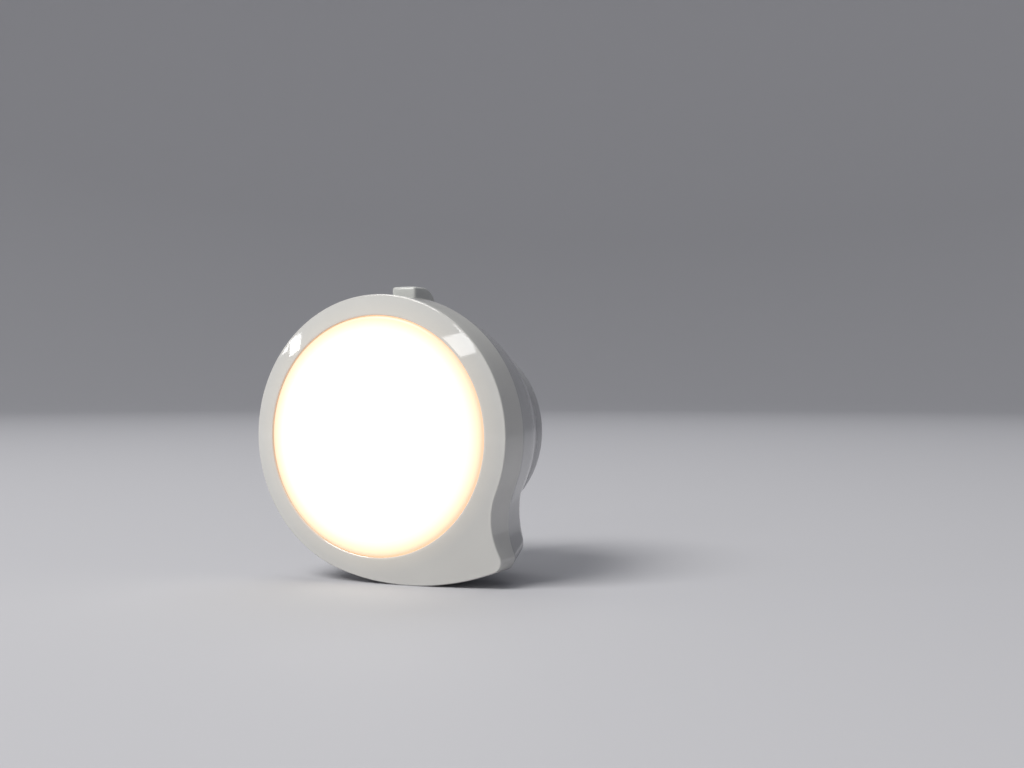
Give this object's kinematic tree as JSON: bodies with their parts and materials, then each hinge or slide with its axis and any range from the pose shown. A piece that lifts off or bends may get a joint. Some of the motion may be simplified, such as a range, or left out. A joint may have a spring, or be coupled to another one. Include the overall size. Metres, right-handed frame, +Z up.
{
  "type": "plug in night light",
  "caption": "Round plug in night light with an opal lit face, a glossy ring that sweeps into a short tail, a push button on top and flat plug blades",
  "frame": {"origin": "middle of the flat face of the plug base that meets the socket", "axes": "+Z up, the light faces -Y, the plug blades point along +Y"},
  "size_m": [0.052, 0.0536, 0.0549],
  "materials": {
    "ring_gloss": "glossy off-white moulded plastic",
    "lens_opal": "satin opal diffuser, lit warm white from behind",
    "shell_gloss": "glossy light grey-white moulded plastic",
    "base_gloss": "satin light grey-white moulded plastic",
    "button_satin": "satin light grey plastic",
    "tray_white": "bright white reflector plastic",
    "light_board": "aluminium board under white solder mask",
    "led_phosphor": "yellow phosphor over a white LED package",
    "screw_steel": "bright zinc plated steel",
    "blade_brass": "nickel washed brass",
    "sleeve_black": "black moulded insulation",
    "clamp_plastic": "white nylon",
    "board_green": "green solder mask over fibreglass",
    "film_box": "yellow film capacitor case",
    "can_sleeve": "dark shrink sleeve over an aluminium can",
    "chip_black": "black moulded epoxy",
    "coil_ferrite": "grey ferrite drum with enamelled wire",
    "resistor_tan": "tan flameproof coating",
    "spring_steel": "music wire",
    "wire_red": "red insulation",
    "wire_black": "black insulation"
  },
  "bodies": {
    "housing": {"front_shell": "ring_gloss", "lens": "lens_opal", "reflector_tray": "tray_white", "led_board": "light_board", "leds": "led_phosphor", "led_board_screws": "screw_steel", "rear_shell": "shell_gloss", "plug_base": "base_gloss", "base_screws": "screw_steel", "active_blade": "blade_brass", "active_sleeve": "sleeve_black", "neutral_blade": "blade_brass", "neutral_sleeve": "sleeve_black", "blade_clamp": "clamp_plastic", "clamp_screws": "screw_steel", "driver_board": "board_green", "board_screws": "screw_steel", "mains_capacitor": "film_box", "smoothing_capacitor": "can_sleeve", "filter_inductor": "coil_ferrite", "bridge_rectifier": "chip_black", "driver_chip": "chip_black", "fusible_resistor": "resistor_tan", "chip_resistors": "chip_black", "switch_board": "board_green", "switch_housing": "chip_black", "switch_spring": "spring_steel", "led_lead_positive": "wire_red", "led_lead_negative": "wire_black"},
    "button": {"button_cap": "button_satin", "switch_plunger": "button_satin"}
  },
  "joints": [
    {"name": "button_press", "type": "slide", "parent": "housing", "child": "button", "axis": [0, 0, -1], "range_m": [0, 0.0012], "stiffness_N_per_m": 800, "deforming": ["switch_spring"]}
  ]
}
